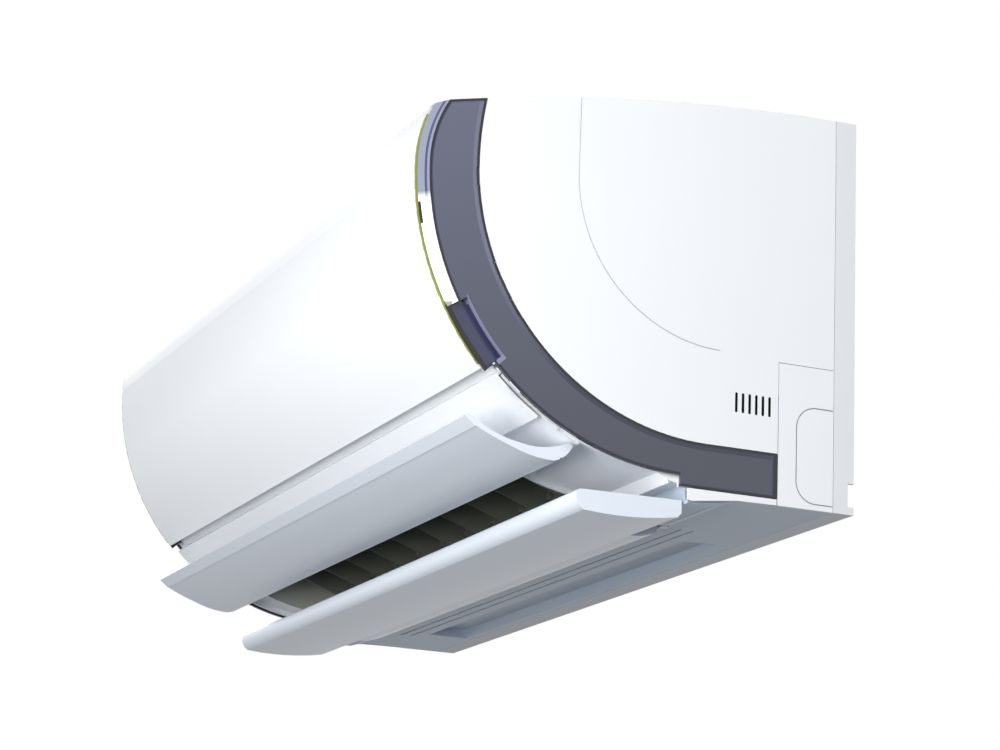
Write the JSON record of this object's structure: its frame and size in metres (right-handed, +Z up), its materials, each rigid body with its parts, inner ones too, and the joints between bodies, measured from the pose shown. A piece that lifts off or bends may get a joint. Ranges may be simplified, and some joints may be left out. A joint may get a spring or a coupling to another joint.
{
  "type": "split air conditioner indoor unit",
  "caption": "Wall-mounted indoor unit of a mini split: curved front panel, smoked side bands, cross-flow fan, finned coil and swinging outlet flaps.",
  "frame": {"origin": "centre of the wall plate's back face, on the wall", "axes": "+X to the right of someone facing the unit, +Y into the wall, +Z up; the front faces -Y"},
  "size_m": [0.798, 0.363, 0.3329],
  "materials": {
    "casing_white": "satin",
    "chassis_white": "satin",
    "panel_white": "gloss",
    "smoked_clear": "gloss",
    "underside_grey": "satin",
    "cap_white": "satin",
    "flap_white": "satin",
    "louver_black": "matte",
    "fan_grey": "matte",
    "shaft_steel": "ground",
    "bearing_rubber": "matte",
    "motor_resin": "matte",
    "motor_tin": "plated",
    "inner_grey": "matte",
    "copper": "drawn",
    "brass": "turned",
    "fin_aluminium": "matte",
    "galvanised_steel": "galvanised",
    "filter_grey": "matte",
    "box_grey": "matte",
    "board_green": "satin",
    "terminal_black": "matte",
    "lens_dark": "gloss"
  },
  "bodies": {
    "cabinet": {"wall_plate": "galvanised_steel", "rear_chassis": "chassis_white", "side_casing_right": "casing_white", "side_casing_left": "casing_white", "side_band_right": "smoked_clear", "side_band_left": "smoked_clear", "corner_cover_right": "casing_white", "corner_cover_left": "casing_white", "top_grille": "casing_white", "outlet_frame": "casing_white", "bottom_cover": "underside_grey", "screw_caps": "cap_white", "upper_flap_motor": "motor_tin", "lower_flap_motor": "motor_tin", "louver_motor": "motor_tin", "louver_rail": "louver_black", "fan_bearing": "bearing_rubber", "fan_motor": "motor_resin", "motor_mount": "inner_grey", "coil_bends": "copper", "coil_plate_left": "galvanised_steel", "coil_plate_right": "galvanised_steel", "coil_front_lower": "fin_aluminium", "coil_front_upper": "fin_aluminium", "coil_rear": "fin_aluminium", "drain_pan": "inner_grey", "air_filter_left": "filter_grey", "air_filter_right": "filter_grey", "control_box": "box_grey", "control_lid": "box_grey", "main_board": "board_green", "terminal_block": "terminal_black", "receiver_housing": "louver_black", "receiver_lens": "lens_dark", "gas_pipe": "copper", "liquid_pipe": "copper", "gas_union": "brass", "liquid_union": "brass", "pipe_clip": "inner_grey"},
    "front_panel": {"front_panel": "panel_white"},
    "upper_flap": {"upper_flap": "flap_white"},
    "lower_flap": {"lower_flap": "flap_white"},
    "fan": {"cross_flow_fan": "fan_grey", "fan_stub_shaft": "shaft_steel", "motor_shaft": "shaft_steel"},
    "louver_crank": {"louver_crank": "louver_black"},
    "louver_link": {"louver_link": "louver_black"},
    "test_button": {"test_button": "cap_white"},
    "louver_01": {"louver_01": "louver_black"},
    "louver_02": {"louver_02": "louver_black"},
    "louver_03": {"louver_03": "louver_black"},
    "louver_04": {"louver_04": "louver_black"},
    "louver_05": {"louver_05": "louver_black"},
    "louver_06": {"louver_06": "louver_black"},
    "louver_07": {"louver_07": "louver_black"},
    "louver_08": {"louver_08": "louver_black"},
    "louver_09": {"louver_09": "louver_black"},
    "louver_10": {"louver_10": "louver_black"}
  },
  "joints": [
    {"name": "panel_hinge", "type": "hinge", "parent": "cabinet", "child": "front_panel", "pos_m": [0, -0.286, 0.084], "axis": [-1, 0, 0], "range_deg": [0, 60]},
    {"name": "upper_flap_hinge", "type": "hinge", "parent": "cabinet", "child": "upper_flap", "pos_m": [0, -0.23, -0.151], "axis": [-1, 0, 0], "range_deg": [-15, 20]},
    {"name": "lower_flap_hinge", "type": "hinge", "parent": "cabinet", "child": "lower_flap", "pos_m": [0, -0.118, -0.186], "axis": [-1, 0, 0], "range_deg": [-22, 16]},
    {"name": "fan_spin", "type": "hinge", "parent": "cabinet", "child": "fan", "pos_m": [0, -0.178, -0.072], "axis": [1, 0, 0], "continuous": true},
    {"name": "louver_crank_turn", "type": "hinge", "parent": "cabinet", "child": "louver_crank", "pos_m": [0.291, -0.14745, -0.14864], "axis": [0, -0.9399, 0.3416], "range_deg": [-30, 30]},
    {"name": "louver_01_turn", "type": "hinge", "parent": "cabinet", "child": "louver_01", "pos_m": [-0.301, -0.14745, -0.14864], "axis": [0, -0.9399, 0.3416], "range_deg": [-30, 30]},
    {"name": "louver_02_turn", "type": "hinge", "parent": "cabinet", "child": "louver_02", "pos_m": [-0.243, -0.14745, -0.14864], "axis": [0, -0.9399, 0.3416], "range_deg": [-30, 30]},
    {"name": "louver_03_turn", "type": "hinge", "parent": "cabinet", "child": "louver_03", "pos_m": [-0.185, -0.14745, -0.14864], "axis": [0, -0.9399, 0.3416], "range_deg": [-30, 30]},
    {"name": "louver_04_turn", "type": "hinge", "parent": "cabinet", "child": "louver_04", "pos_m": [-0.127, -0.14745, -0.14864], "axis": [0, -0.9399, 0.3416], "range_deg": [-30, 30]},
    {"name": "louver_05_turn", "type": "hinge", "parent": "cabinet", "child": "louver_05", "pos_m": [-0.069, -0.14745, -0.14864], "axis": [0, -0.9399, 0.3416], "range_deg": [-30, 30]},
    {"name": "louver_06_turn", "type": "hinge", "parent": "cabinet", "child": "louver_06", "pos_m": [-0.011, -0.14745, -0.14864], "axis": [0, -0.9399, 0.3416], "range_deg": [-30, 30]},
    {"name": "louver_07_turn", "type": "hinge", "parent": "cabinet", "child": "louver_07", "pos_m": [0.047, -0.14745, -0.14864], "axis": [0, -0.9399, 0.3416], "range_deg": [-30, 30]},
    {"name": "louver_08_turn", "type": "hinge", "parent": "cabinet", "child": "louver_08", "pos_m": [0.105, -0.14745, -0.14864], "axis": [0, -0.9399, 0.3416], "range_deg": [-30, 30]},
    {"name": "louver_09_turn", "type": "hinge", "parent": "cabinet", "child": "louver_09", "pos_m": [0.163, -0.14745, -0.14864], "axis": [0, -0.9399, 0.3416], "range_deg": [-30, 30]},
    {"name": "louver_10_turn", "type": "hinge", "parent": "cabinet", "child": "louver_10", "pos_m": [0.221, -0.14745, -0.14864], "axis": [0, -0.9399, 0.3416], "range_deg": [-30, 30]},
    {"name": "louver_link_slide", "type": "slide", "parent": "cabinet", "child": "louver_link", "axis": [1, 0, 0], "range_m": [-0.0065, 0.0065]},
    {"name": "test_button_press", "type": "slide", "parent": "cabinet", "child": "test_button", "axis": [0, 1, 0], "range_m": [0, 0.0012], "stiffness_N_per_m": 400, "springref_m": -0.0008}
  ],
  "couplings": [
    {"joint": "louver_01_turn", "follows": "louver_link_slide", "rad_per_m": 80.554},
    {"joint": "louver_02_turn", "follows": "louver_link_slide", "rad_per_m": 80.554},
    {"joint": "louver_03_turn", "follows": "louver_link_slide", "rad_per_m": 80.554},
    {"joint": "louver_04_turn", "follows": "louver_link_slide", "rad_per_m": 80.554},
    {"joint": "louver_05_turn", "follows": "louver_link_slide", "rad_per_m": 80.554},
    {"joint": "louver_06_turn", "follows": "louver_link_slide", "rad_per_m": 80.554},
    {"joint": "louver_07_turn", "follows": "louver_link_slide", "rad_per_m": 80.554},
    {"joint": "louver_08_turn", "follows": "louver_link_slide", "rad_per_m": 80.554},
    {"joint": "louver_09_turn", "follows": "louver_link_slide", "rad_per_m": 80.554},
    {"joint": "louver_10_turn", "follows": "louver_link_slide", "rad_per_m": 80.554},
    {"joint": "louver_crank_turn", "follows": "louver_link_slide", "rad_per_m": 80.554}
  ]
}
